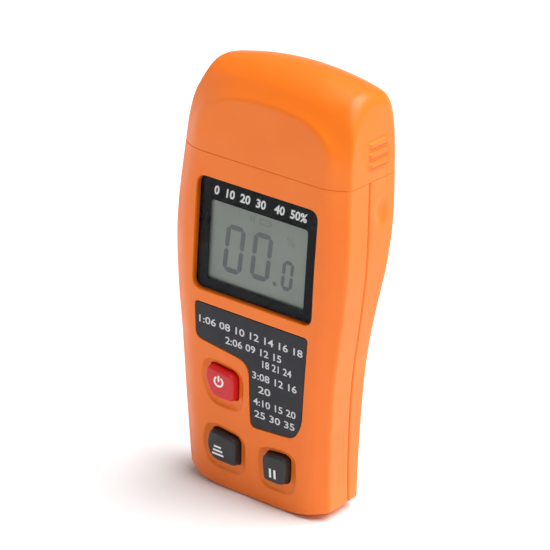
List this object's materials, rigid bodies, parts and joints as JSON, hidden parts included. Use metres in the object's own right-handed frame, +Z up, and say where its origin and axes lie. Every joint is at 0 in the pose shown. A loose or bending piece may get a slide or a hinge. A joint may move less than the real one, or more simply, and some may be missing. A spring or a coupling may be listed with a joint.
{
  "type": "pin moisture meter",
  "caption": "Handheld pin moisture meter for timber floors: waisted case, display window, printed label, push buttons and a lift-off cap over two measuring pins.",
  "frame": {"origin": "centre of the bounding box in X and Y, on the plane of the foot that it stands on", "axes": "+Z up the meter towards the cap, -Y out of the display, +X to the right seen from the front"},
  "size_m": [0.0598, 0.0303, 0.1292],
  "materials": {
    "case_plastic": "fine moulded texture, satin orange",
    "label_film": "matte dark grey film with light print",
    "clear_window": "clear glossy acrylic",
    "black_print": "glossy black print behind the window",
    "lcd_glass": "grey-green reflective display",
    "grey_plastic": "plain moulded",
    "conductive_rubber": "matte",
    "circuit_board": "green solder mask",
    "black_plastic": "plain moulded",
    "red_button": "satin red",
    "black_button": "satin black",
    "steel": "bright",
    "brass": "turned",
    "cell_wrap": "printed sleeve, plain"
  },
  "bodies": {
    "case": {"front_casing": "case_plastic", "rear_casing": "case_plastic", "label_plate": "label_film", "display_pane": "clear_window", "display_mask": "black_print", "lcd_panel": "lcd_glass", "lcd_holder": "grey_plastic", "zebra_strip_lower": "conductive_rubber", "zebra_strip_upper": "conductive_rubber", "main_board": "circuit_board", "control_chip": "black_plastic", "sensor_chip": "black_plastic", "buzzer": "black_plastic", "power_switch": "black_plastic", "mode_switch": "black_plastic", "hold_switch": "black_plastic", "pin_block": "black_plastic", "pin_sleeve_left": "black_plastic", "pin_sleeve_right": "black_plastic", "battery_tray": "black_plastic", "measuring_pin_left": "steel", "measuring_pin_right": "steel", "battery_contact_left": "steel", "battery_contact_right": "steel", "battery_spring_lower": "steel", "battery_spring_upper": "steel", "case_screw_lower_left": "steel", "case_screw_lower_right": "steel", "case_screw_upper_left": "steel", "case_screw_upper_right": "steel", "pin_nut_left": "brass", "pin_nut_right": "brass", "pin_contact_left": "brass", "pin_contact_right": "brass", "battery_cell_lower": "cell_wrap", "battery_cell_upper": "cell_wrap"},
    "cap": {"protective_cap": "case_plastic"},
    "power_key": {"power_button": "red_button", "power_plunger": "grey_plastic"},
    "mode_key": {"mode_button": "black_button", "mode_plunger": "grey_plastic"},
    "hold_key": {"hold_button": "black_button", "hold_plunger": "grey_plastic"},
    "door": {"battery_door": "case_plastic"}
  },
  "joints": [
    {"name": "cap_lift", "type": "slide", "parent": "case", "child": "cap", "axis": [0, 0, 1], "range_m": [0, 0.045]},
    {"name": "power_press", "type": "slide", "parent": "case", "child": "power_key", "axis": [0, 1, 0], "range_m": [0, 0.0006], "stiffness_N_per_m": 2500},
    {"name": "mode_press", "type": "slide", "parent": "case", "child": "mode_key", "axis": [0, 1, 0], "range_m": [0, 0.0006], "stiffness_N_per_m": 2500},
    {"name": "hold_press", "type": "slide", "parent": "case", "child": "hold_key", "axis": [0, 1, 0], "range_m": [0, 0.0006], "stiffness_N_per_m": 2500},
    {"name": "door_pull", "type": "slide", "parent": "case", "child": "door", "axis": [0, 1, 0], "range_m": [0, 0.02]}
  ]
}
